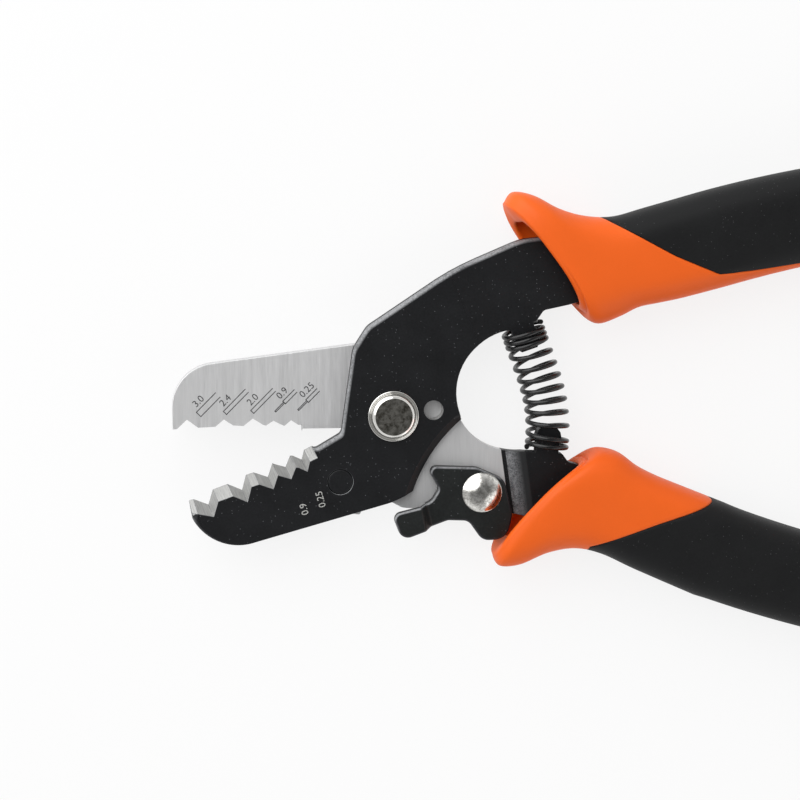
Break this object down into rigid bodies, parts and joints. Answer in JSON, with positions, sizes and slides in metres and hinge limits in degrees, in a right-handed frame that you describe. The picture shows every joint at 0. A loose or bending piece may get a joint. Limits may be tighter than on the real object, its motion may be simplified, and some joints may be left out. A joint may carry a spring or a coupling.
{
  "type": "fibre stripper",
  "caption": "Plier-type stripper: two crossing plate levers with notched stripping jaws, a bowed return spring, a swinging lock and flared hand grips.",
  "frame": {"origin": "pivot axis at the back face of the pivot nut, the plane the tool lies on", "axes": "+X towards the handles, +Y towards the upper handle, +Z out of the front, along the pivot"},
  "size_m": [0.1824, 0.1026, 0.015],
  "materials": {
    "black_steel": "black oxide, satin",
    "ground_steel": "fine ground",
    "nickel": "nickel plated",
    "black_wire": "black spring wire",
    "black_grip": "soft matte",
    "orange_guard": "soft satin"
  },
  "bodies": {
    "front_lever": {"front_lever_plate": "black_steel", "pivot_bolt": "nickel", "pivot_washer": "ground_steel", "pivot_nut": "nickel", "stop_pin": "black_steel", "return_spring": "black_wire", "upper_grip": "black_grip", "upper_guard": "orange_guard"},
    "rear_lever": {"rear_lever_plate": "ground_steel", "lock_washer": "ground_steel", "lock_rivet": "nickel", "lower_grip": "black_grip", "lower_guard": "orange_guard"},
    "lock": {"lock_lever": "black_steel"}
  },
  "joints": [
    {"name": "jaw_pivot", "type": "hinge", "parent": "front_lever", "child": "rear_lever", "pos_m": [0, 0, 0.0075], "axis": [0, 0, 1], "range_deg": [0, 23], "stiffness_Nm_per_rad": 0.8, "springref_deg": -20.05, "deforming": ["return_spring"]},
    {"name": "lock_pivot", "type": "hinge", "parent": "rear_lever", "child": "lock", "pos_m": [0.0173, -0.0153, 0.0078], "axis": [0, 0, 1], "range_deg": [-50, 0]}
  ]
}
